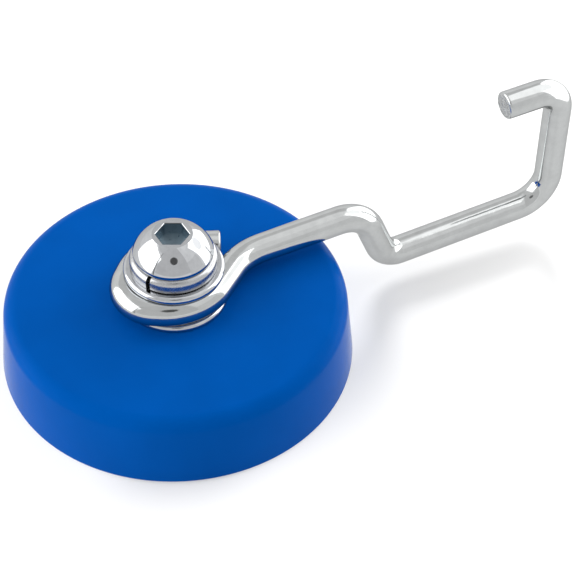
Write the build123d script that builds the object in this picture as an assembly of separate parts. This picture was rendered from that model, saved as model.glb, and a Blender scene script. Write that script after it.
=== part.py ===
from build123d import *
import os
from math import cos, degrees, radians, sin, sqrt, tan

# Magnetic hook: a plastic-covered pot magnet, and a bent wire hook whose eye swivels
# between two flat washers under a domed screw.
# Millimetres. The origin is the centre of the magnet's face. +Z runs up the screw and
# the hook's arm points along +X.

# Nut in the magnet's bore
nut_across_flats = 8.0
nut_thickness = 4.7
nut_recess = 1.2
nut_face_share = 0.95
nut_chamfer_angle = 30
nut_countersink = 0.35

# Steel cup
cup_radius = 18.0
cup_wall = 1.5
cup_floor = 1.8
cup_corner_radius = 1.2
cup_rim_round = 0.25

# Ring magnet and the resin that holds it
magnet_bore_clearance = 0.9
magnet_chamfer = 0.3
resin_width = 1.5
resin_recess = 0.35
resin_gap = 0.02

# Plastic cover
cover_side_wall = 3.1
cover_draft_angle = 5
cover_top_wall = 1.7
cover_edge_radius = 1.8
cover_rim_lift = 0.2
cover_rim_round = 0.3
cover_fit_gap = 0.1

# Domed screw with a hexagon socket
screw_radius = 2.5
screw_end_stand = 0.5
screw_end_chamfer = 0.45
screw_hole_clearance = 0.25
thread_gap = 0.03
head_radius = 4.75
head_height = 3.0
head_land = 0.5
head_crown_radius = 2.4
socket_across_flats = 3.5
socket_depth = 1.6
socket_point_depth = 0.5
socket_turn = -26

# Flat washers below and above the hook's eye
lower_washer_radius = 6.25
upper_washer_radius = 6.0
washer_thickness = 0.8
washer_bore_clearance = 0.15
washer_rolled_edge = 0.5
washer_sheared_edge = 0.15

# Split lock washer under the screw's head
lock_radius = 5.2
lock_thickness = 1.6
lock_rise = 0.25
lock_slit = 0.45
lock_slit_angle = -149
lock_seat_gap = 0.01

# Wire hook
wire_radius = 1.75
wire_end_round = 0.3
eye_running_gap = 0.08
eye_bore_clearance = 0.19
tail_gap = 0.45
neck_bend_radius = 7.2
arm_offset = 0.3
arm_reach = 25.0
arm_rise = 0.3
arm_bend_radius = 4.65
drop_height = 8.7
drop_lean = 3.3
drop_bend_radius = 3.05
run_length = 23.15
run_rise = 0.7
run_bend_radius = 4.35
upright_height = 17.85
upright_lean = 0.5
upright_bend_radius = 3.1
tip_length = 7.9
tip_fall = 0.1

# The eye is an open oval of four straights joined by three bends. From the neck round
# to the tail, each straight has a heading, and its inner side stands a share of the
# eye's bore away from the screw's axis. The bends' inner radii are shares of it too.
neck_heading = 218.4
front_heading = 150.4
left_heading = 46.3
tail_heading = -24
neck_stand_share = 1.303
front_stand_share = 1.316
left_stand_share = 1.365
tail_stand_share = 1.468
front_bend_share = 1.88
left_bend_share = 0.81
back_bend_share = 1.784

# Heights of the stack, from the magnet's face up
screw_tip = nut_recess - screw_end_stand
nut_top = nut_recess + nut_thickness
cup_height = nut_top + cup_floor
cover_height = cup_height + cover_top_wall
eye_height = cover_height + washer_thickness + eye_running_gap + wire_radius
upper_washer_base = eye_height + wire_radius + eye_running_gap
lock_base = upper_washer_base + washer_thickness + lock_seat_gap
head_seat = lock_base + lock_thickness + lock_rise + lock_seat_gap
head_top = head_seat + head_height

# Radii that follow from the fits
nut_corner_radius = nut_across_flats / 2 / cos(radians(30))
cup_bore_radius = cup_radius - cup_wall
magnet_radius = cup_bore_radius - resin_width
magnet_bore_radius = nut_corner_radius + magnet_bore_clearance
cover_bore_radius = cup_radius + cover_fit_gap
cover_base_radius = cover_bore_radius + cover_side_wall
screw_hole_radius = screw_radius + screw_hole_clearance
washer_bore_radius = screw_radius + washer_bore_clearance
eye_bore_radius = screw_radius + eye_bore_clearance


def column(radius, base, top):
    """A cylinder on the screw's axis between two heights."""
    return Pos(0, 0, (base + top) / 2) * Cylinder(radius, top - base)


def turned(*profile):
    """A solid of revolution about the screw's axis, from (radius, height) corners."""
    outline = Polyline([(radius, 0, height) for radius, height in profile], close=True)
    return revolve(make_face(outline), Axis.Z)


def hexagon_bar(across_flats, base, top):
    """A hexagonal bar on the screw's axis between two heights."""
    return Pos(0, 0, base) * extrude(RegularPolygon(across_flats / 2, 6, major_radius=False), top - base)


def plastic_cover():
    """Moulded cap over the cup, with a drafted side and a soft top edge."""
    side_height = cover_height - cover_rim_lift
    top_radius = cover_base_radius - side_height * tan(radians(cover_draft_angle))
    cap = Pos(0, 0, cover_rim_lift + side_height / 2) * Cone(cover_base_radius, top_radius, side_height)
    cap = fillet(cap.edges().group_by(Axis.Z)[-1], cover_edge_radius)
    cap = fillet(cap.edges().group_by(Axis.Z)[0], cover_rim_round)
    return cap - column(cover_bore_radius, 0, cup_height) - column(screw_hole_radius, 0, cover_height)


def steel_cup():
    """Pressed pot that carries the magnet's flux to its rim."""
    blank = column(cup_radius, 0, cup_height)
    blank = fillet(blank.edges().group_by(Axis.Z)[-1], cup_corner_radius)
    blank = fillet(blank.edges().group_by(Axis.Z)[0], cup_rim_round)
    return blank - column(cup_bore_radius, 0, nut_top) - column(screw_hole_radius, 0, cup_height)


def ring_magnet():
    """Ferrite ring, flush with the cup's rim, with room for the nut in its bore."""
    magnet = column(magnet_radius, 0, nut_top) - column(magnet_bore_radius, 0, nut_top)
    return chamfer(magnet.edges().group_by(Axis.Z)[0], magnet_chamfer)


def resin_ring():
    """Cast resin between the magnet and the cup's wall, a little below the face."""
    outer = column(cup_bore_radius - resin_gap, resin_recess, nut_top)
    return outer - column(magnet_radius + resin_gap, resin_recess, nut_top)


def hex_nut():
    """Nut against the cup's floor, its corners turned off at both ends."""
    face_radius = nut_across_flats / 2 * nut_face_share
    slope = (nut_corner_radius - face_radius) * tan(radians(nut_chamfer_angle))
    bar = hexagon_bar(nut_across_flats, nut_recess, nut_top)
    limit = turned(
        (0, nut_recess),
        (face_radius, nut_recess),
        (nut_corner_radius, nut_recess + slope),
        (nut_corner_radius, nut_top - slope),
        (face_radius, nut_top),
        (0, nut_top),
    )
    thread_radius = screw_radius + thread_gap
    mouth_radius = thread_radius + nut_countersink
    bore = turned(
        (0, nut_recess),
        (mouth_radius, nut_recess),
        (thread_radius, nut_recess + nut_countersink),
        (thread_radius, nut_top - nut_countersink),
        (mouth_radius, nut_top),
        (0, nut_top),
    )
    return (bar & limit) - bore


def socket_screw():
    """Domed screw through the whole stack, plain at its thread's full diameter."""
    land_top = head_seat + head_land
    drop_to_centre = (head_radius**2 - head_crown_radius**2) / (head_height - head_land) / 2
    dome_centre = (land_top + head_top) / 2 - drop_to_centre
    dome_radius = sqrt(head_radius**2 + (land_top - dome_centre) ** 2)
    head = column(head_radius, head_seat, head_top) & Pos(0, 0, dome_centre) * Sphere(dome_radius)
    shank = column(screw_radius, screw_tip, head_seat)
    shank = chamfer(shank.edges().group_by(Axis.Z)[0], screw_end_chamfer)
    socket_floor = head_top - socket_depth
    socket = Rot(0, 0, socket_turn) * hexagon_bar(socket_across_flats, socket_floor, head_top)
    point = turned(
        (0, socket_floor - socket_point_depth),
        (socket_across_flats / 2, socket_floor),
        (0, socket_floor),
    )
    return head + shank - socket - point


def flat_washer(radius, base):
    """Stamped washer, with the punch's wide rounding on its upper edge."""
    disc = column(radius, base, base + washer_thickness)
    disc = fillet(disc.edges().group_by(Axis.Z)[-1], washer_rolled_edge)
    disc = fillet(disc.edges().group_by(Axis.Z)[0], washer_sheared_edge)
    return disc - column(washer_bore_radius, base, base + washer_thickness)


def split_lock_washer():
    """Nearly one left-hand turn of square-cut spring steel, its upper end proud."""
    mean_radius = (lock_radius + washer_bore_radius) / 2
    slit_angle = degrees(lock_slit / mean_radius)
    pitch = lock_rise / (1 - slit_angle / 360)
    path = Helix(pitch, lock_rise, mean_radius, lefthand=True)
    bar = Rectangle(lock_radius - washer_bore_radius, lock_thickness)
    coil = sweep(Pos(mean_radius, 0, 0) * Plane.XZ * bar, path, is_frenet=True)
    return Pos(0, 0, lock_base + lock_thickness / 2) * Rot(0, 0, lock_slit_angle - slit_angle / 2) * coil


def eye_side(heading, stand_share):
    """One straight of the eye: its heading and its centreline's distance from the axis."""
    return radians(heading), stand_share * eye_bore_radius + wire_radius


def meet(first, second):
    """The point in plan where two straights cross."""
    first_heading, first_stand = first
    second_heading, second_stand = second
    spread = sin(second_heading - first_heading)
    x = (first_stand * cos(second_heading) - second_stand * cos(first_heading)) / spread
    y = (first_stand * sin(second_heading) - second_stand * sin(first_heading)) / spread
    return Vector(x, y, eye_height)


def eye_points():
    """Corners of the eye's centreline, from the cut tail to the neck."""
    arm = radians(180), -arm_offset
    neck = eye_side(neck_heading, neck_stand_share)
    front = eye_side(front_heading, front_stand_share)
    left = eye_side(left_heading, left_stand_share)
    tail = eye_side(tail_heading, tail_stand_share)
    # The tail stops where the edge of its cut end is a small gap short of the neck
    closing = neck[0] - tail[0] - radians(180)
    short = (wire_radius + tail_gap + wire_radius * cos(closing)) / sin(closing)
    tail_end = meet(tail, neck) - Vector(cos(tail[0]), sin(tail[0])) * short
    return [tail_end, meet(tail, left), meet(left, front), meet(front, neck), meet(neck, arm)]


def wire_hook():
    """Round wire bent into an eye, an arm, a drop, a run, an upright and a tip."""
    arm_end = Vector(arm_reach, arm_offset, eye_height + arm_rise)
    drop_end = arm_end + Vector(drop_lean, 0, -drop_height)
    run_end = drop_end + Vector(run_length, 0, run_rise)
    upright_end = run_end + Vector(upright_lean, 0, upright_height)
    tip_end = upright_end - Vector(tip_length, 0, tip_fall)
    points = eye_points() + [arm_end, drop_end, run_end, upright_end, tip_end]
    bend_shares = back_bend_share, left_bend_share, front_bend_share
    radii = [share * eye_bore_radius + wire_radius for share in bend_shares]
    radii += [neck_bend_radius, arm_bend_radius, drop_bend_radius, run_bend_radius, upright_bend_radius]
    path = FilletPolyline(*points, radius=radii)
    wire = sweep(Plane(path @ 0, z_dir=path % 0) * Circle(wire_radius), path)
    return fillet(wire.faces().filter_by(GeomType.PLANE).edges(), wire_end_round)


nodes = {
    "plastic_cover": plastic_cover(),
    "steel_cup": steel_cup(),
    "ring_magnet": ring_magnet(),
    "resin_ring": resin_ring(),
    "hex_nut": hex_nut(),
    "socket_screw": socket_screw(),
    "lower_washer": flat_washer(lower_washer_radius, cover_height),
    "upper_washer": flat_washer(upper_washer_radius, upper_washer_base),
    "lock_washer": split_lock_washer(),
    "wire_hook": wire_hook(),
}

os.makedirs("parts", exist_ok=True)
for name, solid in nodes.items():
    export_step(solid, f"parts/{name}.step")
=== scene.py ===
"""Looks of a plastic-covered magnetic hook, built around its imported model.

Lengths are in metres. The origin is the centre of the magnet's face, +Z runs up the screw and the
hook's arm points along +X at rest.
"""

from functools import partial
from math import asin, atan2, ceil, cos, hypot, pi, radians, sin, tan

import bmesh
import bpy
from mathutils import Matrix, Vector, noise


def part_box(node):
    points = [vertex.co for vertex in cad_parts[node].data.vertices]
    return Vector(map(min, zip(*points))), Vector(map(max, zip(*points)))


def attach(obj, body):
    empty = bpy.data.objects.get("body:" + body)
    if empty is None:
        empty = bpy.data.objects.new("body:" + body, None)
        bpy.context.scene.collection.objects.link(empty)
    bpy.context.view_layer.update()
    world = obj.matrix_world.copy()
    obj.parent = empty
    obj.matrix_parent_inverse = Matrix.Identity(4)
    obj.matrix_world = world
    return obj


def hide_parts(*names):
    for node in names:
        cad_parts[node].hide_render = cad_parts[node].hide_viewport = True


bl_info = {
    "name": "Magnetic Hook",
    "version": (1, 0, 0),
    "blender": (4, 5, 0),
    "location": "3D View > Sidebar > Magnetic Hook",
    "description": "Builds a covered pot magnet with a swivelling wire hook",
    "category": "Object",
}

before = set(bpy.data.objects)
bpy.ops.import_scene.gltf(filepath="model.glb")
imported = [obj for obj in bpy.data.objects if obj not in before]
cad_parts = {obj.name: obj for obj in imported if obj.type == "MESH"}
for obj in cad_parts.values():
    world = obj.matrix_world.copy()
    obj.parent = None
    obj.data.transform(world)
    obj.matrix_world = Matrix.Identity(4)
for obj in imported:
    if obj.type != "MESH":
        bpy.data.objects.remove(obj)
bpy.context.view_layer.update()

MM = 0.001
FULL_TURN = 2 * pi
HEXAGON = 6
SCREW_AXIS = {"axis": (0, 0, 1), "cent": (0, 0, 0)}


def heights(node):
    """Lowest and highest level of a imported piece."""
    low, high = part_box(node)
    return low.z, high.z


def reach(node):
    """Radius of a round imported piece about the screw's axis."""
    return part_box(node)[1].y


def linear(hex_colour):
    """An sRGB hex colour as the linear values that the shaders take."""
    shares = [int(hex_colour[i : i + 2], 16) / 255 for i in (1, 3, 5)]
    return tuple(c / 12.92 if c <= 0.04045 else ((c + 0.055) / 1.055) ** 2.4 for c in shares)


def length(name, description, millimetres):
    """A size that a user may change, given in millimetres and kept in metres."""
    return bpy.props.FloatProperty(
        name=name, description=description, default=millimetres * MM, min=0, unit="LENGTH", precision=5
    )


def angle(name, description, degrees):
    """An angle that a user may change."""
    return bpy.props.FloatProperty(
        name=name, description=description, default=radians(degrees), subtype="ANGLE", precision=3
    )


def share(name, description, value):
    """A plain ratio that a user may change."""
    return bpy.props.FloatProperty(name=name, description=description, default=value, min=0, precision=4)


def colour(name, description, hex_colour):
    """A colour that a user may change, given as sRGB hex."""
    return bpy.props.FloatVectorProperty(
        name=name, description=description, default=linear(hex_colour), size=3, min=0, max=1, subtype="COLOR"
    )


class CoverSizes(bpy.types.PropertyGroup):
    """Sizes of the moulded cover."""

    base_radius: length("Base radius", "Radius of the cover at its rim", 21.2)
    draft: angle("Draft", "Lean of the side wall, which lets the cover leave its mould", 5)
    edge_radius: length("Edge radius", "Rounding of the top edge", 1.8)
    rim_round: length("Rim rounding", "Rounding of the outer rim", 0.3)
    lip_round: length("Lip rounding", "Rounding of the inner rim", 0.2)
    fit_gap: length("Fit gap", "Room between the cover and the cup", 0.1)
    hole_radius: length("Hole radius", "Radius of the screw's hole", 2.75)


class CupSizes(bpy.types.PropertyGroup):
    """Sizes of the pressed cup."""

    wall: length("Wall", "Thickness of the cup's wall", 1.5)
    corner_radius: length("Corner radius", "Rounding of the pressed corner", 1.2)
    rim_round: length("Rim rounding", "Rounding of the outer rim", 0.25)
    lip_round: length("Lip rounding", "Rounding of the inner rim", 0.12)


class MagnetSizes(bpy.types.PropertyGroup):
    """Sizes of the ferrite ring and of the resin round it."""

    bore_radius: length("Bore radius", "Radius of the magnet's bore", 5.52)
    chamfer: length("Chamfer", "Broken edge at the ground face", 0.3)
    chip_depth: length("Chip depth", "Depth of the small chips along the edges", 0.16)
    chip_length: length("Chip length", "Typical length of a chip", 1.1)
    resin_dip: length("Resin dip", "Depth of the resin's hollow between its two walls", 0.18)


class ScrewSizes(bpy.types.PropertyGroup):
    """Sizes of the domed screw and of its nut."""

    shank_radius: length("Shank radius", "Radius over the thread's crests", 2.5)
    pitch: length("Pitch", "Thread pitch", 0.8)
    thread_depth: length("Thread depth", "Depth of the thread", 0.44)
    end_chamfer: length("End chamfer", "Chamfer at the shank's tip", 0.45)
    head_height: length("Head height", "Height of the domed head", 3.0)
    head_land: length("Head land", "Height of the head's upright side", 0.5)
    crown_radius: length("Crown radius", "Radius of the flat round the socket", 2.4)
    edge_round: length("Edge rounding", "Rounding of the head's edges", 0.12)
    socket_flats: length("Socket across flats", "Width of the hexagon socket", 3.5)
    socket_edge: length("Socket edge", "Broken edge round the socket", 0.06)
    socket_depth: length("Socket depth", "Depth of the socket's walls", 1.6)
    point_depth: length("Point depth", "Depth of the drilled cone below the walls", 0.5)
    socket_turn: angle("Socket turn", "Turn of the socket about the screw's axis", -26)
    nut_flats: length("Nut across flats", "Width of the nut", 8.0)
    nut_face_share: share("Nut face share", "Radius of its round face as a share of half its width", 0.95)
    nut_chamfer: angle("Nut chamfer", "Slope of the nut's turned corners", 30)
    nut_mouth: length("Nut mouth", "Width of the countersink round the nut's thread", 0.35)
    thread_gap: length("Thread gap", "Room between the two threads", 0.03)


class WasherSizes(bpy.types.PropertyGroup):
    """Sizes of the flat washers and of the split lock washer."""

    bore_radius: length("Bore radius", "Radius of the washers' bores", 2.65)
    rolled_edge: length("Rolled edge", "Rounding that the punch leaves on the upper outer edge", 0.5)
    sheared_edge: length("Sheared edge", "Rounding of the lower and inner edges", 0.15)
    lock_thickness: length("Lock washer thickness", "Height of the spring steel's section", 1.7)
    lock_slit: length("Lock washer slit", "Width of the slit", 0.45)
    lock_slit_angle: angle("Lock washer slit angle", "Place of the slit round the screw", -149)
    lock_edge: length("Lock washer edge", "Rounding of the spring steel's edges", 0.14)
    lock_rolled_edge: length("Lock washer rolled edge", "Rounding of its upper outer edge", 0.7)


class WireSizes(bpy.types.PropertyGroup):
    """Sizes of the bent wire."""

    wire_radius: length("Wire radius", "Radius of the round wire", 1.75)
    end_round: length("End rounding", "Rounding of the wire's cut ends", 0.3)
    bore_radius: length("Eye bore radius", "Size of the eye's bore, of which its shares are taken", 2.69)
    tail_gap: length("Tail gap", "Gap between the eye's cut end and the neck", 0.45)
    neck_radius: length("Neck bend", "Centreline radius between the eye and the arm", 7.2)
    arm_offset: length("Arm offset", "Distance of the arm to the side of the screw's axis", 0.3)
    arm_reach: length("Arm reach", "Corner between the arm and the drop", 25.0)
    arm_rise: length("Arm rise", "How far the arm climbs", 0.3)
    arm_radius: length("Arm bend", "Centreline radius between the arm and the drop", 4.65)
    drop_height: length("Drop height", "Height of the drop", 8.7)
    drop_lean: length("Drop lean", "How far the drop leads outwards", 3.3)
    drop_radius: length("Drop bend", "Centreline radius between the drop and the run", 3.05)
    run_length: length("Run length", "Length of the low run", 23.15)
    run_rise: length("Run rise", "How far the run climbs", 0.7)
    run_radius: length("Run bend", "Centreline radius between the run and the upright", 4.35)
    upright_height: length("Upright height", "Height of the upright", 17.85)
    upright_lean: length("Upright lean", "How far the upright leads outwards", 0.5)
    upright_radius: length("Upright bend", "Centreline radius between the upright and the tip", 3.1)
    tip_length: length("Tip length", "Length of the turned-back tip", 7.9)
    tip_fall: length("Tip fall", "How far the tip falls", 0.1)


class HookColours(bpy.types.PropertyGroup):
    """Colours of the finishes."""

    cover: colour("Cover", "Bright blue moulded plastic", "#0058B4")
    cover_sheen: colour("Cover sheen", "Tint of the cover's reflections", "#005CE0")
    chrome: colour("Chrome", "Bright chrome plate on the wire", "#C3C5C5")
    nickel: colour("Nickel", "Bright nickel-chrome plate on the screw and the washers", "#C2C4C7")
    plate_edge: colour("Plate edge", "Tint of bright plate at a glancing angle", "#D2D2D2")
    # The socket's darker, bluish grey is partly dull bare steel and partly painted shade of the recess
    socket: colour("Socket", "Dull steel inside the socket", "#93A3AD")
    spring: colour("Spring steel", "Plate over spring steel", "#B9BABC")
    zinc: colour("Zinc", "Clear-passivated zinc plate", "#BFC3C8")
    ferrite: colour("Ferrite", "Ground ferrite", "#34353A")
    resin: colour("Resin", "Cast black epoxy", "#15161A")


SIZE_GROUPS = {
    "hook_cover": CoverSizes,
    "hook_cup": CupSizes,
    "hook_magnet": MagnetSizes,
    "hook_screw": ScrewSizes,
    "hook_washers": WasherSizes,
    "hook_wire": WireSizes,
    "hook_colours": HookColours,
}

# The wire's eye is an open oval of four straights joined by three bends. From the neck round to
# the tail, each straight has a heading in degrees, and its inner side stands a share of the eye's
# bore radius away from the screw's axis. The bends' inner radii are shares of it too.
EYE_HEADINGS = {"neck": 218.4, "front": 150.4, "left": 46.3, "tail": -24}
EYE_STAND_SHARES = {"neck": 1.303, "front": 1.316, "left": 1.365, "tail": 1.468}
EYE_BEND_SHARES = {"back": 1.784, "left": 0.81, "front": 1.88}

# The thread's groove deepens with this slope from crest to root, less what the flat crest takes
# off. It ends this share of a pitch below the head, and has so many rows of points to a pitch
THREAD_SLOPE = 1.25
THREAD_FLAT = 0.1
THREAD_END = 1 / 8
THREAD_STEPS = 10

# Places of the points across the resin's hollow, from its inner wall at -1 to its outer at 1
RESIN_PLACES = (-1, -0.75, -0.5, -0.2, 0.2, 0.5, 0.75, 1)
# The noise that chips the magnet seldom passes this value
NOISE_PEAK = 0.5

# Steps round the screw, across a rounding, up the dome and round the wire, and the greatest turn of
# one step along a bend
ROUND_STEPS = 192
SMALL_ROUND_STEPS = 96
ROUNDING_STEPS = 6
COVER_EDGE_STEPS = 14
DOME_STEPS = 24
WIRE_SIDES = 48
BEND_STEP = radians(3)
# Faces that meet at a smaller angle are shaded as one
CREASE_ANGLE = radians(28)
# Points this close are merged, and lengths this close count as the same
WELD_DISTANCE = 0.002 * MM
NEAR = 0.01 * MM
# Place of a piece's second material, on the wire's cut ends and inside the socket
SECOND_FINISH = 1


# Mesh work


def near(value, wanted):
    """Whether two lengths are the same but for rounding."""
    return abs(value - wanted) < NEAR


def profile_mesh(corners, closed=True, segments=ROUNDING_STEPS):
    """A profile in the XZ plane from (radius, height, rounding) corners, rounded where asked."""
    bm = bmesh.new()
    verts = [bm.verts.new((radius, 0, height)) for radius, height, _ in corners]
    count = len(verts)
    for i in range(count if closed else count - 1):
        bm.edges.new((verts[i], verts[(i + 1) % count]))
    for i, (*here, rounding) in enumerate(corners):
        if not rounding:
            continue
        before = Vector(corners[i - 1][:2]) - Vector(here)
        after = Vector(corners[(i + 1) % count][:2]) - Vector(here)
        turn = pi - before.angle(after)
        round_off(bm, [verts[i]], "VERTICES", rounding * tan(turn / 2), segments)
    return bm


def round_off(bm, geom, affect, offset, segments=ROUNDING_STEPS):
    """Rounds points or edges."""
    bmesh.ops.bevel(
        bm, geom=geom, affect=affect, offset=offset, segments=segments, profile=0.5, material=-1
    )


def turned(corners, steps, closed=True, segments=ROUNDING_STEPS):
    """A profile spun once round the screw's axis, with its seam and its poles closed."""
    bm = profile_mesh(corners, closed, segments)
    profile = bm.verts[:] + bm.edges[:]
    bmesh.ops.spin(bm, geom=profile, angle=FULL_TURN, steps=steps, use_merge=True, **SCREW_AXIS)
    weld(bm)
    return bm


def weld(bm):
    """Merges doubled points and turns every face outwards."""
    bmesh.ops.remove_doubles(bm, verts=bm.verts[:], dist=WELD_DISTANCE)
    bmesh.ops.recalc_face_normals(bm, faces=bm.faces[:])


def grow(bm, edges):
    """Extrudes a loop of edges in place and returns the new points and edges."""
    made = bmesh.ops.extrude_edge_only(bm, edges=edges)["geom"]
    verts = [item for item in made if isinstance(item, bmesh.types.BMVert)]
    new = set(verts)
    return verts, [item for item in made if isinstance(item, bmesh.types.BMEdge) and set(item.verts) <= new]


def hexagon_radius(flats, direction):
    """Distance from the axis to a hexagon's side in a direction, with a corner at zero."""
    sector = FULL_TURN / HEXAGON
    return flats / 2 / cos(direction % sector - sector / 2)


def thread_rows(screw, radius, start, end):
    """Corners from one height to another, close enough together to carry the thread."""
    rows = ceil(abs(end - start) / screw.pitch * THREAD_STEPS)
    return [(radius, start + (end - start) * row / rows, 0) for row in range(rows + 1)]


def thread_radius(screw, point, crest_radius):
    """Radius of the screw's thread at a point: a right-hand helix of rounded V grooves."""
    phase = (point.z / screw.pitch - atan2(point.y, point.x) / FULL_TURN) % 1
    depth_share = min(max(abs(2 * phase - 1) * THREAD_SLOPE - THREAD_FLAT, 0), 1)
    return crest_radius - screw.thread_depth * depth_share


def add_object(name, data):
    """A new object in the scene, at the origin."""
    made = bpy.data.objects.new(name, data)
    bpy.context.scene.collection.objects.link(made)
    return made


def add_mesh_object(bm, name, *materials):
    """A new object in the scene from the mesh, with its materials."""
    mesh = bpy.data.meshes.new(name)
    bm.to_mesh(mesh)
    bm.free()
    for material in materials:
        mesh.materials.append(material)
    return add_object(name, mesh)


def finish_piece(bm, name, node, slot, *materials, body="base"):
    """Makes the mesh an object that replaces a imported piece, and shades its smooth faces."""
    if any(edge.is_wire or edge.is_boundary for edge in bm.edges):
        raise RuntimeError(f"{name} isn't a closed mesh")
    for face in bm.faces:
        face.smooth = True
    for edge in bm.edges:
        edge.smooth = edge.calc_face_angle(0) < CREASE_ANGLE
    piece = add_mesh_object(bm, name, *materials)
    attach(piece, body)
    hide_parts(node)


# Materials

WHITE = (1, 1, 1, 1)
# Places of the sockets of the node that mixes two colours
MIX_FACTOR, MIX_FIRST, MIX_SECOND, MIX_RESULT = 0, 6, 7, 2


def per_metre(millimetres):
    """Texture scale that gives a pattern of this size."""
    return 1 / (millimetres * MM)


def add_node(tree, kind, values=None, links=None, **settings):
    """Adds one shader node with its settings, input values and links, and returns it."""
    node = tree.nodes.new(kind)
    for name, value in settings.items():
        setattr(node, name, value)
    for socket, value in (values or {}).items():
        node.inputs[socket].default_value = value
    for socket, source in (links or {}).items():
        tree.links.new(source, node.inputs[socket])
    return node


def new_tree(name):
    """A new material and its empty shader tree."""
    material = bpy.data.materials.new(name)
    material.use_nodes = True
    material.node_tree.nodes.clear()
    return material, material.node_tree


def speckle(tree, point, size, detail=3.0, roughness=0.55, distortion=0.0):
    """Noise with lumps of this size in millimetres."""
    values = {"Scale": per_metre(size), "Detail": detail, "Roughness": roughness, "Distortion": distortion}
    return add_node(tree, "ShaderNodeTexNoise", values, {"Vector": point}).outputs["Fac"]


def drawn_lines(tree, point, size, squeeze, turn=0.0, detail=3.0):
    """Noise drawn out into lines, by squeezing the place along one axis and turning it."""
    values = {"Scale": squeeze, "Rotation": (0, 0, turn)}
    squeezed = add_node(tree, "ShaderNodeMapping", values, {"Vector": point}).outputs["Vector"]
    return speckle(tree, squeezed, size=size, detail=detail)


def ring_lines(tree, point, size):
    """Fine lines round the screw's axis, as turning and drawing leave them. Real ones are a
    few hundredths of a millimetre apart, too fine to show, so they are drawn coarser."""
    parts = add_node(tree, "ShaderNodeSeparateXYZ", links={"Vector": point}).outputs
    flat = add_node(tree, "ShaderNodeCombineXYZ", links={"X": parts["X"], "Y": parts["Y"]})
    radius = add_node(tree, "ShaderNodeVectorMath", links={0: flat.outputs["Vector"]}, operation="LENGTH")
    line = add_node(tree, "ShaderNodeCombineXYZ", links={"X": radius.outputs["Value"], "Z": parts["Z"]})
    return speckle(tree, line.outputs["Vector"], size=size, detail=2.0)


def bubble_pits(tree, point, size):
    """Round pits, this far apart in millimetres."""
    cells = add_node(tree, "ShaderNodeTexVoronoi", {"Scale": per_metre(size)}, {"Vector": point})
    return spread(tree, cells.outputs["Distance"], low=0, high=1, start=0.05, end=0.16)


def spread(tree, source, low, high, start=0.3, end=0.7):
    """Maps the middle of a pattern onto a range of values."""
    values = {"From Min": start, "From Max": end, "To Min": low, "To Max": high}
    return add_node(tree, "ShaderNodeMapRange", values, {"Value": source}).outputs["Result"]


def tint(tree, factor, first, second):
    """A colour between two, by a factor."""
    ends = {MIX_FIRST: (*first, 1), MIX_SECOND: (*second, 1)}
    return add_node(tree, "ShaderNodeMix", ends, {MIX_FACTOR: factor}, data_type="RGBA").outputs[MIX_RESULT]


def shaded(base, lightness):
    """A colour with its lightness scaled."""
    return tuple(min(channel * lightness, 1) for channel in base)


def finish(name, base, tones, cloud, roughness, relief, values, gloss=None, attribute=None):
    """A material whose colour goes from a dark to a light tone over one pattern, and whose
    roughness goes over the same or a second one. Its relief is (height, pattern) from the bottom
    up, in millimetres. Patterns lie in the part's own frame, or in an attribute of the mesh."""
    material, tree = new_tree(name)
    if attribute:
        point = add_node(tree, "ShaderNodeAttribute", attribute_name=attribute).outputs["Vector"]
    else:
        point = add_node(tree, "ShaderNodeTexCoord").outputs["Object"]
    clouds = cloud(tree, point)
    dark, light = (shaded(base, lightness) for lightness in tones)
    links = {
        "Base Color": tint(tree, spread(tree, clouds, low=0, high=1), dark, light),
        "Roughness": spread(tree, gloss(tree, point) if gloss else clouds, **roughness),
    }
    normal = {}
    for height, pattern in relief:
        depth = {"Distance": height * MM, "Strength": 1.0}
        bump = add_node(tree, "ShaderNodeBump", depth, {"Height": pattern(tree, point), **normal})
        normal = {"Normal": bump.outputs["Normal"]}
    shader = add_node(tree, "ShaderNodeBsdfPrincipled", values, {**links, **normal})
    add_node(tree, "ShaderNodeOutputMaterial", links={"Surface": shader.outputs["BSDF"]})
    return material


def moulded_plastic(colours):
    """Injection-moulded ABS with a semi-gloss mould finish. The eye sees an even, strong colour
    with soft reflections, a trace of flow unevenness, and a few light rubs where it is handled."""
    rubs = partial(speckle, size=3.5, detail=6.0, distortion=0.4)
    sink = partial(speckle, size=14.0, detail=0.0)
    # The real mould's texture is about 0.05 mm across, drawn coarser so that it shows
    texture = partial(speckle, size=0.35, detail=2.0)
    return finish(
        "moulded_abs_semi_gloss",
        colours.cover,
        tones=(0.95, 1.05),
        cloud=partial(speckle, size=9.0),
        gloss=rubs,
        roughness={"low": 0.18, "high": 0.25, "start": 0.5, "end": 0.75},
        relief=[(0.05, sink), (0.004, texture)],
        values={"IOR": 1.53, "Specular Tint": (*colours.cover_sheen, 1), "Specular IOR Level": 0.03},
    )


def bright_plate(name, colours, base, low, high, haze, relief, attribute=None):
    """The common part of the bright plated finishes: a mirror with slight tone and with haze of a
    size in millimetres, a little darker where it is seen at a glancing angle. Its roughness
    runs from low to high."""
    return finish(
        name,
        base,
        tones=(0.94, 1.05),
        cloud=partial(speckle, size=haze, detail=5.0),
        roughness={"low": low, "high": high},
        relief=relief,
        values={"Metallic": 1.0, "Specular Tint": (*colours.plate_edge, 1)},
        attribute=attribute,
    )


def chromed_wire(colours):
    """Drawn round steel wire, bent and then chrome plated. The eye sees a cool mirror with faint
    lines along the wire and slight waviness, which breaks up the long reflections."""
    waviness = partial(speckle, size=2.2, detail=1.0)
    # Real die lines are about 0.02 mm apart, drawn coarser so that they show
    lines = partial(drawn_lines, size=0.3, squeeze=(1, 1, 0.03))
    relief = [(0.016, waviness), (0.0018, lines)]
    name = "chrome_plated_drawn_wire"
    return bright_plate(
        name, colours, colours.chrome, low=0.08, high=0.14, haze=1.6, relief=relief, attribute="straight"
    )


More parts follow.
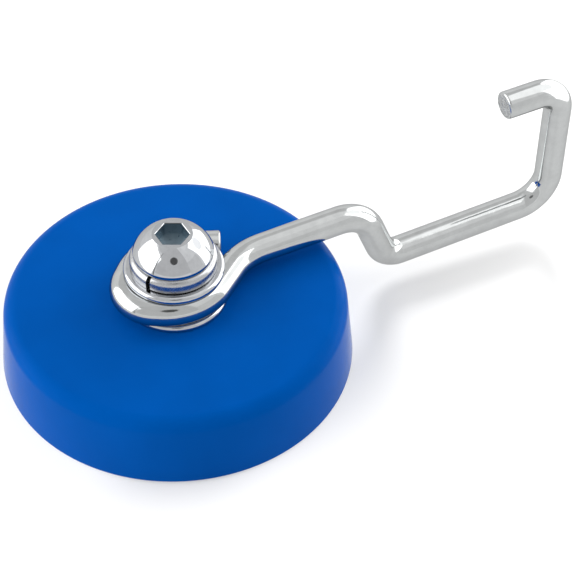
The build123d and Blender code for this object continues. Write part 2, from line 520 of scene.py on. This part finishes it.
def sheared_wire_end(colours):
    """The wire's cut end, sheared before plating. The eye sees a duller disc with a torn grain."""
    torn = partial(speckle, size=0.7, detail=6.0, roughness=0.7, distortion=1.2)
    base = shaded(colours.chrome, lightness=0.86)
    name = "sheared_wire_end_plated"
    return bright_plate(name, colours, base, low=0.22, high=0.38, haze=0.5, relief=[(0.3, torn)])


def plated_turned_steel(colours):
    """Cold-headed screw, turned clean and plated with bright nickel and chrome. The eye sees
    a crisp mirror with a hint of rings round its axis."""
    waviness = partial(speckle, size=1.4, detail=1.0)
    relief = [(0.0006, partial(ring_lines, size=0.12)), (0.004, waviness)]
    name = "bright_plated_screw_steel"
    return bright_plate(name, colours, colours.nickel, low=0.045, high=0.075, haze=0.9, relief=relief)


def broached_socket(colours):
    """The socket's walls, broached before plating. Little plate reaches inside, so the eye
    sees dull steel with lines down the walls. Its darker, bluish grey is partly painted shade
    of the recess."""
    relief = [(0.008, partial(drawn_lines, size=0.12, squeeze=(1, 1, 0.08)))]
    name = "broached_socket_steel_and_painted_shade"
    return bright_plate(name, colours, colours.socket, low=0.25, high=0.42, haze=0.4, relief=relief)


def plated_stamped_steel(colours):
    """Stamped steel washers, barrel tumbled and nickel plated. The eye sees a bright surface
    with small random dents and scratches from tumbling."""
    dents = partial(speckle, size=0.8, detail=2.0)
    scratches = partial(speckle, size=0.25, detail=6.0, distortion=2.5)
    relief = [(0.008, dents), (0.0015, scratches)]
    name = "nickel_plated_stamped_steel"
    return bright_plate(name, colours, colours.nickel, low=0.07, high=0.15, haze=0.7, relief=relief)


def plated_spring_steel(colours):
    """Coiled square spring wire, plated. The eye sees a slightly darker metal with lines that
    follow the coil."""
    relief = [(0.004, partial(ring_lines, size=0.15)), (0.006, partial(speckle, size=0.6))]
    name = "nickel_plated_spring_steel"
    return bright_plate(name, colours, colours.spring, low=0.2, high=0.3, haze=0.6, relief=relief)


def zinc_plated_pressing(colours):
    """Deep-drawn steel cup with clear-passivated zinc plate. The eye sees a satin, slightly blue
    grey, with draw lines and rubbed patches on the rim that meets the wall."""
    return finish(
        "zinc_plated_pressed_steel",
        colours.zinc,
        tones=(0.86, 1.04),
        cloud=partial(speckle, size=2.5, detail=5.0),
        roughness={"low": 0.24, "high": 0.40},
        relief=[(0.004, partial(ring_lines, size=0.2)), (0.004, partial(speckle, size=0.5))],
        values={"Metallic": 1.0},
    )


def zinc_plated_nut(colours):
    """Cold-formed nut with bright zinc plate. The eye sees a satin grey with forged unevenness."""
    return finish(
        "zinc_plated_nut_steel",
        colours.zinc,
        tones=(0.85, 1.08),
        cloud=partial(speckle, size=1.2, detail=4.0),
        roughness={"low": 0.20, "high": 0.34},
        relief=[(0.012, partial(speckle, size=0.7))],
        values={"Metallic": 1.0},
    )


def ground_ferrite(colours):
    """Sintered strontium ferrite, ground flat. The eye sees a matte, near-black ceramic with
    fine straight grinding marks and pale dust in its pores."""
    # Real grinding marks are under 0.05 mm apart, drawn coarser so that they show
    marks = partial(drawn_lines, size=0.25, squeeze=(1, 0.02, 1), turn=radians(24), detail=4.0)
    pores = partial(speckle, size=0.35, detail=6.0, roughness=0.7)
    return finish(
        "ground_sintered_ferrite",
        colours.ferrite,
        tones=(0.75, 1.45),
        cloud=marks,
        gloss=pores,
        roughness={"low": 0.45, "high": 0.68},
        relief=[(0.006, marks), (0.01, pores)],
        values={"IOR": 2.2, "Specular IOR Level": 0.35},
    )


def cast_resin(colours):
    """Two-part epoxy, cast black. The eye sees a smooth glossy hollow with a few pits where
    bubbles broke."""
    return finish(
        "cast_black_epoxy",
        colours.resin,
        tones=(0.8, 1.5),
        cloud=partial(speckle, size=2.0),
        roughness={"low": 0.16, "high": 0.30},
        relief=[(0.05, partial(bubble_pits, size=1.6))],
        values={"IOR": 1.55},
    )


# Pieces


class HOOK_OT_cover(bpy.types.Operator):
    """Mould the plastic cover over the cup"""

    bl_idname = "hook.cover"
    bl_label = "Plastic cover"

    def execute(self, context):
        cover = context.scene.hook_cover
        rim, top = heights("plastic_cover")
        ceiling = heights("steel_cup")[1]
        top_radius = cover.base_radius - (top - rim) * tan(cover.draft)
        bore_radius = reach("steel_cup") + cover.fit_gap
        corners = [
            (cover.base_radius, rim, cover.rim_round),
            (top_radius, top, cover.edge_radius),
            (cover.hole_radius, top, 0),
            (cover.hole_radius, ceiling, 0),
            (bore_radius, ceiling, 0),
            (bore_radius, rim, cover.lip_round),
        ]
        bm = turned(corners, ROUND_STEPS, segments=COVER_EDGE_STEPS)
        plastic = moulded_plastic(context.scene.hook_colours)
        finish_piece(bm, "moulded_cover", "plastic_cover", "blue_cover", plastic)
        return {"FINISHED"}


class HOOK_OT_cup(bpy.types.Operator):
    """Press the steel cup that leads the magnet's flux to its rim"""

    bl_idname = "hook.cup"
    bl_label = "Steel cup"

    def execute(self, context):
        cup = context.scene.hook_cup
        rim, top = heights("steel_cup")
        floor = heights("ring_magnet")[1]
        radius = reach("steel_cup")
        hole_radius = context.scene.hook_cover.hole_radius
        inner_radius = radius - cup.wall
        corners = [
            (radius, rim, cup.rim_round),
            (radius, top, cup.corner_radius),
            (hole_radius, top, 0),
            (hole_radius, floor, 0),
            (inner_radius, floor, 0),
            (inner_radius, rim, cup.lip_round),
        ]
        bm = turned(corners, ROUND_STEPS)
        zinc = zinc_plated_pressing(context.scene.hook_colours)
        finish_piece(bm, "pressed_cup", "steel_cup", "zinc_cup", zinc)
        return {"FINISHED"}


class HOOK_OT_magnet(bpy.types.Operator):
    """Grind the ferrite ring, with small chips along its edges"""

    bl_idname = "hook.magnet"
    bl_label = "Ring magnet"

    def execute(self, context):
        magnet = context.scene.hook_magnet
        face, top = heights("ring_magnet")
        radius = reach("ring_magnet")
        corners = [
            (magnet.bore_radius + magnet.chamfer, face, 0),
            (radius - magnet.chamfer, face, 0),
            (radius, face + magnet.chamfer, 0),
            (radius, top, 0),
            (magnet.bore_radius, top, 0),
            (magnet.bore_radius, face + magnet.chamfer, 0),
        ]
        bm = turned(corners, ROUND_STEPS)
        for vert in bm.verts:
            # Chips widen the chamfer into the face only, so the ring keeps its outer sizes
            if vert.co.z > face + magnet.chamfer / 2:
                continue
            chip = max(noise.noise(vert.co / magnet.chip_length), 0) / NOISE_PEAK
            inwards = 1 if vert.co.xy.length < radius / 2 else -1
            vert.co += vert.co.normalized() * inwards * magnet.chip_depth * chip
        bmesh.ops.recalc_face_normals(bm, faces=bm.faces[:])
        ferrite = ground_ferrite(context.scene.hook_colours)
        finish_piece(bm, "ferrite_ring", "ring_magnet", "ferrite", ferrite)
        return {"FINISHED"}


class HOOK_OT_resin(bpy.types.Operator):
    """Cast the resin between the magnet and the cup"""

    bl_idname = "hook.resin"
    bl_label = "Resin"

    def execute(self, context):
        face, top = heights("resin_ring")
        outer = reach("resin_ring")
        inner = reach("ring_magnet") + (reach("steel_cup") - context.scene.hook_cup.wall - outer)
        middle = (inner + outer) / 2
        half_width = (outer - inner) / 2
        # The liquid resin climbs its two walls, so it sets with a hollow between them
        dip = context.scene.hook_magnet.resin_dip
        hollow = [(middle + half_width * place, face + dip * (1 - place**2), 0) for place in RESIN_PLACES]
        bm = turned([*hollow, (outer, top, 0), (inner, top, 0)], ROUND_STEPS)
        resin = cast_resin(context.scene.hook_colours)
        finish_piece(bm, "cast_resin", "resin_ring", "resin", resin)
        return {"FINISHED"}


class HOOK_OT_nut(bpy.types.Operator):
    """Form the hexagon nut and cut its thread"""

    bl_idname = "hook.nut"
    bl_label = "Hexagon nut"

    def execute(self, context):
        screw = context.scene.hook_screw
        face, top = heights("hex_nut")
        crest = screw.shank_radius + screw.thread_gap
        mouth = crest + screw.nut_mouth
        face_radius = screw.nut_flats / 2 * screw.nut_face_share
        bore = thread_rows(screw, crest, top - screw.nut_mouth, face + screw.nut_mouth)
        corners = [(mouth, face, 0), (face_radius, face, 0), (face_radius, top, 0), (mouth, top, 0), *bore]
        bm = turned(corners, SMALL_ROUND_STEPS)
        self.make_hexagon(bm, screw, face, top, face_radius)
        for vert in bm.verts:
            if near(vert.co.xy.length, crest):
                vert.co.xy = vert.co.xy.normalized() * thread_radius(screw, vert.co, crest)
        bmesh.ops.recalc_face_normals(bm, faces=bm.faces[:])
        zinc = zinc_plated_nut(context.scene.hook_colours)
        finish_piece(bm, "formed_nut", "hex_nut", "zinc_nut", zinc)
        return {"FINISHED"}

    def make_hexagon(self, bm, screw, face, top, face_radius):
        """Pushes the round side out to six flats, whose corners are turned off at both ends."""
        side = [
            edge
            for edge in bm.edges
            if abs(edge.verts[0].co.z - edge.verts[1].co.z) > (top - face) / 2
            and near(edge.verts[0].co.xy.length, face_radius)
        ]
        bmesh.ops.subdivide_edges(bm, edges=side, cuts=2)
        for vert in bm.verts:
            at_end = near(vert.co.z, face) or near(vert.co.z, top)
            if at_end or not near(vert.co.xy.length, face_radius):
                continue
            direction = atan2(vert.co.y, vert.co.x)
            flat = hexagon_radius(screw.nut_flats, direction)
            slope = (flat - face_radius) * tan(screw.nut_chamfer)
            level = face + slope if vert.co.z < (face + top) / 2 else top - slope
            vert.co = Vector((flat * cos(direction), flat * sin(direction), level))


class HOOK_OT_screw(bpy.types.Operator):
    """Turn the domed screw, cut its thread and broach its socket"""

    bl_idname = "hook.screw"
    bl_label = "Domed screw"

    def execute(self, context):
        screw = context.scene.hook_screw
        tip, head_top = heights("socket_screw")
        seat = head_top - screw.head_height
        land_top = seat + screw.head_land
        head_radius = reach("socket_screw")
        corners = [
            (0, tip, 0),
            (screw.shank_radius - screw.end_chamfer, tip, 0),
            *thread_rows(screw, screw.shank_radius, tip + screw.end_chamfer, seat),
            (head_radius, seat, screw.edge_round),
            (head_radius, land_top, screw.edge_round),
            *self.dome(screw, land_top, head_top, head_radius),
        ]
        bm = turned(corners, SMALL_ROUND_STEPS, closed=False)
        self.cut_thread(bm, screw, seat)
        self.broach_socket(bm, screw, head_top)
        turn = Matrix.Rotation(screw.socket_turn, 3, "Z")
        bmesh.ops.rotate(bm, verts=bm.verts[:], cent=(0, 0, 0), matrix=turn)
        weld(bm)
        colours = context.scene.hook_colours
        finishes = plated_turned_steel(colours), broached_socket(colours)
        finish_piece(bm, "domed_screw", "socket_screw", "plated_screw", *finishes)
        return {"FINISHED"}

    def dome(self, screw, land_top, head_top, head_radius):
        """Points up the dome, an arc from the head's upright side to its flat crown."""
        rise = head_top - land_top
        centre = land_top + rise / 2 - (head_radius**2 - screw.crown_radius**2) / rise / 2
        dome_radius = hypot(head_radius, land_top - centre)
        start = asin(head_radius / dome_radius)
        end = asin(screw.crown_radius / dome_radius)
        tilts = [start + (end - start) * step / DOME_STEPS for step in range(1, DOME_STEPS + 1)]
        return [(dome_radius * sin(tilt), centre + dome_radius * cos(tilt), 0) for tilt in tilts]

    def cut_thread(self, bm, screw, seat):
        """Moves the shank's points in to a helical groove that runs out under the head."""
        last = seat - screw.pitch * THREAD_END
        for vert in bm.verts:
            if vert.co.z > last or not near(vert.co.xy.length, screw.shank_radius):
                continue
            depth = screw.shank_radius - thread_radius(screw, vert.co, screw.shank_radius)
            fade = min(1, (seat - vert.co.z) / screw.pitch)
            vert.co.xy = vert.co.xy.normalized() * (screw.shank_radius - depth * fade)

    def broach_socket(self, bm, screw, head_top):
        """Grows the flat crown in to a hexagon, then its broken edge, its walls and the drilled
        point."""
        loop = [edge for edge in bm.edges if edge.is_boundary]
        floor = head_top - screw.socket_depth
        levels = [
            (1, screw.socket_edge, head_top),
            (1, 0, head_top - screw.socket_edge),
            (1, 0, floor),
            (0, screw.socket_flats / 2, floor),
            (0, 0, floor - screw.point_depth),
        ]
        for hexagon_share, extra, height in levels:
            before = set(bm.faces)
            verts, loop = grow(bm, loop)
            for vert in verts:
                turn = atan2(vert.co.y, vert.co.x)
                radius = hexagon_share * hexagon_radius(screw.socket_flats, turn) + extra
                vert.co = Vector((radius * cos(turn), radius * sin(turn), height))
            for face in bm.faces:
                if face not in before and height <= floor:
                    face.material_index = SECOND_FINISH


class HOOK_OT_flat_washers(bpy.types.Operator):
    """Stamp the two flat washers, below and above the eye"""

    bl_idname = "hook.flat_washers"
    bl_label = "Flat washers"

    def execute(self, context):
        washers = context.scene.hook_washers
        nickel = plated_stamped_steel(context.scene.hook_colours)
        for name, node in (("washer_below_eye", "lower_washer"), ("washer_above_eye", "upper_washer")):
            base, top = heights(node)
            radius = reach(node)
            corners = [
                (radius, base, washers.sheared_edge),
                (radius, top, washers.rolled_edge),
                (washers.bore_radius, top, washers.sheared_edge),
                (washers.bore_radius, base, washers.sheared_edge),
            ]
            bm = turned(corners, SMALL_ROUND_STEPS)
            finish_piece(bm, name, node, "plated_washer", nickel)
        return {"FINISHED"}


class HOOK_OT_lock_washer(bpy.types.Operator):
    """Coil the split lock washer, nearly one left-hand turn"""

    bl_idname = "hook.lock_washer"
    bl_label = "Split lock washer"

    def execute(self, context):
        washers = context.scene.hook_washers
        base, top = heights("lock_washer")
        radius = reach("lock_washer")
        rise = top - base - washers.lock_thickness
        slit = washers.lock_slit / ((radius + washers.bore_radius) / 2)
        corners = [
            (radius, base, washers.lock_edge),
            (radius, base + washers.lock_thickness, washers.lock_rolled_edge),
            (washers.bore_radius, base + washers.lock_thickness, washers.lock_edge),
            (washers.bore_radius, base, washers.lock_edge),
        ]
        bm = profile_mesh(corners)
        start = Matrix.Rotation(washers.lock_slit_angle - slit / 2, 3, "Z")
        bmesh.ops.rotate(bm, verts=bm.verts[:], cent=(0, 0, 0), matrix=start)
        bmesh.ops.contextual_create(bm, geom=bm.edges[:])
        last = bmesh.ops.spin(
            bm,
            geom=bm.verts[:] + bm.edges[:],
            dvec=(0, 0, rise / SMALL_ROUND_STEPS),
            angle=slit - FULL_TURN,
            steps=SMALL_ROUND_STEPS,
            **SCREW_AXIS,
        )["geom_last"]
        bmesh.ops.contextual_create(bm, geom=[item for item in last if isinstance(item, bmesh.types.BMEdge)])
        weld(bm)
        spring = plated_spring_steel(context.scene.hook_colours)
        finish_piece(bm, "sprung_washer", "lock_washer", "plated_spring_steel", spring)
        return {"FINISHED"}


class HOOK_OT_wire(bpy.types.Operator):
    """Bend the wire into an eye, an arm, a drop, a run, an upright and a tip"""

    bl_idname = "hook.wire"
    bl_label = "Wire hook"

    def execute(self, context):
        wire = context.scene.hook_wire
        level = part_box("upper_washer")[0].z / 2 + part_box("lower_washer")[1].z / 2
        points, radii = self.route(wire, level)
        bm = bmesh.new()
        straight = bm.verts.layers.float_vector.new("straight")
        heading = (points[1] - points[0]).normalized()
        start = Matrix.Translation(points[0]) @ heading.to_track_quat("Z", "Y").to_matrix().to_4x4()
        bmesh.ops.create_circle(bm, segments=WIRE_SIDES, radius=wire.wire_radius, matrix=start)
        for vert in bm.verts:
            vert[straight] = start.inverted() @ vert.co
        loop = bm.edges[:]
        bmesh.ops.contextual_create(bm, geom=loop)
        here = points[0].copy()
        for corner, after, radius in zip(points[1:-1], points[2:], radii):
            turn_axis = heading.cross(after - corner).normalized()
            turn = heading.angle(after - corner)
            run = (corner - here).length - radius * tan(turn / 2)
            loop = self.step(bm, straight, loop, run, Matrix.Translation(heading * run))
            here += heading * run
            centre = here + turn_axis.cross(heading) * radius
            steps = ceil(turn / BEND_STEP)
            part = Matrix.Rotation(turn / steps, 4, turn_axis)
            bend = Matrix.Translation(centre) @ part @ Matrix.Translation(-centre)
            for _ in range(steps):
                loop = self.step(bm, straight, loop, radius * turn / steps, bend)
                here = bend @ here
            heading = (after - corner).normalized()
        run = (points[-1] - here).length
        loop = self.step(bm, straight, loop, run, Matrix.Translation(heading * run))
        bmesh.ops.contextual_create(bm, geom=loop)
        bmesh.ops.recalc_face_normals(bm, faces=bm.faces[:])
        self.round_ends(bm, wire)
        colours = context.scene.hook_colours
        finishes = chromed_wire(colours), sheared_wire_end(colours)
        finish_piece(bm, "bent_wire", "wire_hook", "plated_wire", *finishes, body="hook")
        return {"FINISHED"}

    def step(self, bm, straight, loop, distance, move):
        """Grows the wire by one ring, and notes how far along the straightened wire it lies."""
        verts, edges = grow(bm, loop)
        bmesh.ops.transform(bm, matrix=move, verts=verts)
        for vert in verts:
            vert[straight] = vert[straight] + Vector((0, 0, distance))
        return edges

    def round_ends(self, bm, wire):
        """Rounds the two cut ends and gives their faces the sheared finish."""
        ends = [face for face in bm.faces if len(face.verts) == WIRE_SIDES]
        edges = [edge for face in ends for edge in face.edges]
        round_off(bm, edges, "EDGES", wire.end_round)
        for face in bm.faces:
            if len(face.verts) == WIRE_SIDES:
                face.material_index = SECOND_FINISH

    def route(self, wire, level):
        """Corners and bend radii of the wire's centreline, from the eye's cut tail to the tip."""
        sides = {
            name: (radians(heading), EYE_STAND_SHARES[name] * wire.bore_radius + wire.wire_radius)
            for name, heading in EYE_HEADINGS.items()
        }
        arm = pi, -wire.arm_offset
        neck, tail = sides["neck"], sides["tail"]
        # The tail stops where the edge of its cut end is a small gap short of the neck
        closing = neck[0] - tail[0] - pi
        short = (wire.wire_radius + wire.tail_gap + wire.wire_radius * cos(closing)) / sin(closing)
        crossings = [
            (tail, neck),
            (tail, sides["left"]),
            (sides["left"], sides["front"]),
            (sides["front"], neck),
            (neck, arm),
        ]
        points = [self.meet(first, second, level) for first, second in crossings]
        points[0] -= Vector((cos(tail[0]), sin(tail[0]), 0)) * short
        points.append(Vector((wire.arm_reach, wire.arm_offset, level + wire.arm_rise)))
        lengths = [
            (wire.drop_lean, -wire.drop_height),
            (wire.run_length, wire.run_rise),
            (wire.upright_lean, wire.upright_height),
            (-wire.tip_length, -wire.tip_fall),
        ]
        for outwards, upwards in lengths:
            points.append(points[-1] + Vector((outwards, 0, upwards)))
        bends = [part * wire.bore_radius + wire.wire_radius for part in EYE_BEND_SHARES.values()]
        bends += [wire.neck_radius, wire.arm_radius, wire.drop_radius, wire.run_radius, wire.upright_radius]
        return points, bends

    def meet(self, first, second, level):
        """The point where two straights cross, each given by its heading and its distance from
        the screw's axis."""
        first_heading, first_stand = first
        second_heading, second_stand = second
        crossing = sin(second_heading - first_heading)
        x = (first_stand * cos(second_heading) - second_stand * cos(first_heading)) / crossing
        y = (first_stand * sin(second_heading) - second_stand * sin(first_heading)) / crossing
        return Vector((x, y, level))


# Stage

# The camera sees the arm turned this far from its own right, and looks down this steeply
ARM_TURN = radians(26)
CAMERA_DROP = radians(45.465)
CAMERA_DISTANCE = 267.89 * MM
CAMERA_CLIP = CAMERA_DISTANCE / 100
# The screw's foot lies left of and below the centre of the picture
FOOT_LEFT = 13.352 * MM
FOOT_BELOW = 7.439 * MM
CAMERA_LENS = 137.5
CAMERA_SENSOR = 36.0

CAMERA_RIGHT = Vector((cos(ARM_TURN), -sin(ARM_TURN), 0))
CAMERA_AHEAD = Vector((sin(ARM_TURN), cos(ARM_TURN), 0))

FLOOR_SIZE = 4.0
FLOOR_GAP = 0.02 * MM
FLOOR_GLOW = 0.32
FLOOR_GLOW_IN_METAL = 0.67
FLOOR_COLOUR = "#C2C2C2"
FLOOR_COLOUR_IN_METAL = "#747474"
SKY_LEVEL = 0.55

# Directions from the hook are a turn from the camera's own side, to its right, and a climb above
# the floor, both in degrees. Distances and sizes are in metres, and brightness is against the
# surroundings. A soft box has its place as a turn, a climb and a distance, and the direction of
# its back
SOFT_BOXES = {
    "left_soft_box": {
        "place": (-85, 26, 0.35),
        "back": (-85, 26),
        "size": (0.435, 0.372),
        "brightness": 2.0,
    },
    "right_soft_box": {
        "place": (131, 29.7, 0.1357),
        "back": (97, 0),
        "size": (0.163, 0.165),
        "brightness": 1.9,
    },
}

# Cards round the hook that show only in reflections, each with its first and last turn and its
# lowest and highest climb. A narrow dark one stands closer, beside the front card
CARD_STEPS = 12
CARD_DISTANCE = 0.6
CARDS = {
    "front_card": {"turns": (-46, 46), "climbs": (8, 85), "brightness": 0.74},
    "side_card": {"turns": (46, 84), "climbs": (2, 34), "brightness": 0.86},
    "back_card": {"turns": (145, 240), "climbs": (36, 60), "brightness": 0.76},
    "top_card": {"turns": (70, 165), "climbs": (60, 80), "brightness": 1.1},
    "left_high_card": {"turns": (-150, -46), "climbs": (57, 85), "brightness": 0.8},
}
SEAM_DISTANCE = 0.3
SEAM_CARD = {"turns": (-50.5, -47.5), "climbs": (0, 60), "brightness": 0.2}

# The dark round of the lens, which the bright metal shows as a small spot, and a bright card
# close over the hook's tip. Their widths are in degrees, as seen from what they face
LENS = {"turn": 5, "climb": 49, "distance": CAMERA_DISTANCE, "width": 19, "brightness": 0.12}
TIP_CARD = {"turn": 110, "climb": 62, "distance": 0.034, "width": 54, "brightness": 1.65}

# A far lamp that draws the wire's shadow on the floor. Its width is in degrees too
SHADOW_LAMP = {"turn": -177, "climb": 38, "width": 20, "strength": 2.75}


def towards(turn, climb):
    """Direction from the hook, by the turn from the camera's side and the climb, in degrees."""
    level = CAMERA_RIGHT * sin(radians(turn)) - CAMERA_AHEAD * cos(radians(turn))
    return level * cos(radians(climb)) + Vector((0, 0, sin(radians(climb))))


def backed(turn, climb):
    """Rotation of a lamp or a card whose back looks in a direction from the hook."""
    return towards(turn, climb).to_track_quat("Z", "Y")


def place_soft_box(name, place, back, size, brightness):
    """A soft box that lights the hook."""
    turn, climb, distance = place
    width, height = size
    lamp = bpy.data.lights.new(name, "AREA")
    lamp.shape = "RECTANGLE"
    lamp.size = width
    lamp.size_y = height
    lamp.energy = brightness * pi * width * height
    box = add_object(name, lamp)
    box.location = towards(turn, climb) * distance
    box.rotation_euler = backed(*back).to_euler()
    box.visible_camera = False


def place_card(name, distance, turns, climbs, brightness):
    """A card curved round the hook."""
    bm = bmesh.new()
    first_turn, last_turn = turns
    lowest, highest = climbs
    levels = [lowest + (highest - lowest) * step / CARD_STEPS for step in range(CARD_STEPS + 1)]
    verts = [bm.verts.new(towards(first_turn, level) * distance) for level in levels]
    for low, high in zip(verts, verts[1:]):
        bm.edges.new((low, high))
    side = bm.verts[:] + bm.edges[:]
    bmesh.ops.spin(bm, geom=side, angle=radians(last_turn - first_turn), steps=CARD_STEPS, **SCREW_AXIS)
    stand_card(bm, name, brightness)


def place_round_card(name, target, turn, climb, distance, width, brightness):
    """A round card that faces a point of the hook and looks this wide from there, in degrees."""
    centre = Matrix.Translation(target + towards(turn, climb) * distance)
    place = centre @ backed(turn, climb).to_matrix().to_4x4()
    radius = distance * tan(radians(width / 2))
    bm = bmesh.new()
    bmesh.ops.create_circle(bm, cap_ends=True, segments=SMALL_ROUND_STEPS, radius=radius, matrix=place)
    stand_card(bm, name, brightness)


def stand_card(bm, name, brightness):
    """Makes the mesh a card that shows only in reflections."""
    material, tree = new_tree(name)
    glow = add_node(tree, "ShaderNodeEmission", {"Color": WHITE, "Strength": brightness})
    add_node(tree, "ShaderNodeOutputMaterial", links={"Surface": glow.outputs["Emission"]})
    card = add_mesh_object(bm, name, material)
    card.visible_camera = False
    card.visible_diffuse = False
    card.visible_transmission = False
    card.visible_shadow = False


def place_shadow_lamp(caster, receiver, turn, climb, width, strength):
    """The lamp that draws one object's shadow on another, and reaches nothing else."""
    sun = bpy.data.lights.new("shadow_lamp", "SUN")
    sun.angle = radians(width)
    sun.energy = strength
    lamp = add_object("shadow_lamp", sun)
    lamp.rotation_euler = backed(turn, climb).to_euler()
    for name, member in (("blocker_collection", caster), ("receiver_collection", receiver)):
        group = bpy.data.collections.new(f"shadow_lamp_{name}")
        group.objects.link(member)
        setattr(lamp.light_linking, name, group)


def seen_directly(tree):
    """One for the rays of the camera, of mirrors and of glass, and zero for the rest."""
    path = add_node(tree, "ShaderNodeLightPath").outputs
    seen = path["Is Camera Ray"]
    for kind in ("Is Glossy Ray", "Is Transmission Ray"):
        either = {0: seen, 1: path[kind]}
        seen = add_node(tree, "ShaderNodeMath", links=either, operation="MAXIMUM").outputs["Value"]
    return seen


class HOOK_OT_stage(bpy.types.Operator):
    """Set the white floor, the soft boxes, the cards and the camera"""

    bl_idname = "hook.stage"
    bl_label = "Stage"

    def execute(self, context):
        context.scene.view_settings.view_transform = "Standard"
        self.set_world(context)
        floor = self.lay_floor()
        for name, values in SOFT_BOXES.items():
            place_soft_box(name, **values)
        for name, values in CARDS.items():
            place_card(name, CARD_DISTANCE, **values)
        place_card("seam_card", SEAM_DISTANCE, **SEAM_CARD)
        place_round_card("dark_lens", Vector(), **LENS)
        place_round_card("tip_card", self.tip_middle(context.scene.hook_wire), **TIP_CARD)
        place_shadow_lamp(bpy.data.objects["bent_wire"], floor, **SHADOW_LAMP)
        self.set_camera(context)
        return {"FINISHED"}

    def tip_middle(self, wire):
        """The middle of the turned-back tip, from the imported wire's far top corner."""
        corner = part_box("wire_hook")[1]
        reach_back = wire.wire_radius + wire.tip_length / 2
        return Vector((corner.x - reach_back, wire.arm_offset, corner.z - wire.wire_radius))

    def set_world(self, context):
        """White surroundings to look at, at a lower level as light."""
        world = bpy.data.worlds.new("white_studio")
        context.scene.world = world
        world.use_nodes = True
        tree = world.node_tree
        tree.nodes.clear()
        level = spread(tree, seen_directly(tree), low=SKY_LEVEL, high=1, start=0, end=1)
        sky = add_node(tree, "ShaderNodeBackground", {"Color": WHITE}, {"Strength": level})
        add_node(tree, "ShaderNodeOutputWorld", links={"Surface": sky.outputs["Background"]})

    def lay_floor(self):
        """Matte white paper that fades into the white surroundings."""
        material, tree = new_tree("white_paper_floor")
        path = add_node(tree, "ShaderNodeLightPath")
        mirrored = path.outputs["Is Glossy Ray"]
        # The metal mirrors the paper evener than it is, with little of the shadows on it
        shade = tint(tree, mirrored, linear(FLOOR_COLOUR), linear(FLOOR_COLOUR_IN_METAL))
        paper = add_node(tree, "ShaderNodeBsdfDiffuse", links={"Color": shade})
        watched = spread(tree, path.outputs["Is Camera Ray"], low=0, high=FLOOR_GLOW, start=0, end=1)
        ends = {"From Min": 0, "From Max": 1, "To Max": FLOOR_GLOW_IN_METAL}
        levels = {"Value": mirrored, "To Min": watched}
        glow = add_node(tree, "ShaderNodeMapRange", ends, levels).outputs["Result"]
        light = add_node(tree, "ShaderNodeEmission", {"Color": WHITE}, {"Strength": glow})
        both = {0: paper.outputs["BSDF"], 1: light.outputs["Emission"]}
        lit = add_node(tree, "ShaderNodeAddShader", links=both)
        add_node(tree, "ShaderNodeOutputMaterial", links={"Surface": lit.outputs["Shader"]})
        bm = bmesh.new()
        below = Matrix.Translation((0, 0, -FLOOR_GAP))
        bmesh.ops.create_grid(bm, x_segments=1, y_segments=1, size=FLOOR_SIZE / 2, matrix=below)
        floor = add_mesh_object(bm, "floor", material)
        return floor

    def set_camera(self, context):
        """A long lens at the picture's height and side."""
        lens = bpy.data.cameras.new("camera")
        lens.lens = CAMERA_LENS
        lens.sensor_width = CAMERA_SENSOR
        lens.clip_start = CAMERA_CLIP
        camera = add_object("camera", lens)
        ahead = CAMERA_AHEAD * cos(CAMERA_DROP) - Vector((0, 0, sin(CAMERA_DROP)))
        up = CAMERA_AHEAD * sin(CAMERA_DROP) + Vector((0, 0, cos(CAMERA_DROP)))
        camera.location = CAMERA_RIGHT * FOOT_LEFT + up * FOOT_BELOW - ahead * CAMERA_DISTANCE
        camera.rotation_euler = Matrix((CAMERA_RIGHT, up, -ahead)).transposed().to_euler()
        context.scene.camera = camera


OPERATORS = (
    HOOK_OT_cover,
    HOOK_OT_cup,
    HOOK_OT_magnet,
    HOOK_OT_resin,
    HOOK_OT_nut,
    HOOK_OT_screw,
    HOOK_OT_flat_washers,
    HOOK_OT_lock_washer,
    HOOK_OT_wire,
    HOOK_OT_stage,
)


class VIEW3D_PT_magnetic_hook(bpy.types.Panel):
    """Sizes, colours and build steps of the magnetic hook"""

    bl_label = "Magnetic Hook"
    bl_space_type = "VIEW_3D"
    bl_region_type = "UI"
    bl_category = "Magnetic Hook"

    def draw(self, context):
        for operator in OPERATORS:
            self.layout.operator(operator.bl_idname)
        for name in SIZE_GROUPS:
            box = self.layout.box()
            group = getattr(context.scene, name)
            for field in group.__annotations__:
                box.prop(group, field)


CLASSES = (*SIZE_GROUPS.values(), *OPERATORS, VIEW3D_PT_magnetic_hook)


def register():
    """Adds the classes, and the sizes and colours to the scene."""
    for cls in CLASSES:
        bpy.utils.register_class(cls)
    for name, group in SIZE_GROUPS.items():
        setattr(bpy.types.Scene, name, bpy.props.PointerProperty(type=group))


def unregister():
    """Takes away what register added."""
    for name in SIZE_GROUPS:
        delattr(bpy.types.Scene, name)
    for cls in reversed(CLASSES):
        bpy.utils.unregister_class(cls)


def main():
    """Builds every piece and the stage."""
    register()
    bpy.ops.hook.cover()
    bpy.ops.hook.cup()
    bpy.ops.hook.magnet()
    bpy.ops.hook.resin()
    bpy.ops.hook.nut()
    bpy.ops.hook.screw()
    bpy.ops.hook.flat_washers()
    bpy.ops.hook.lock_washer()
    bpy.ops.hook.wire()
    bpy.ops.hook.stage()


if __name__ == "__main__":
    main()
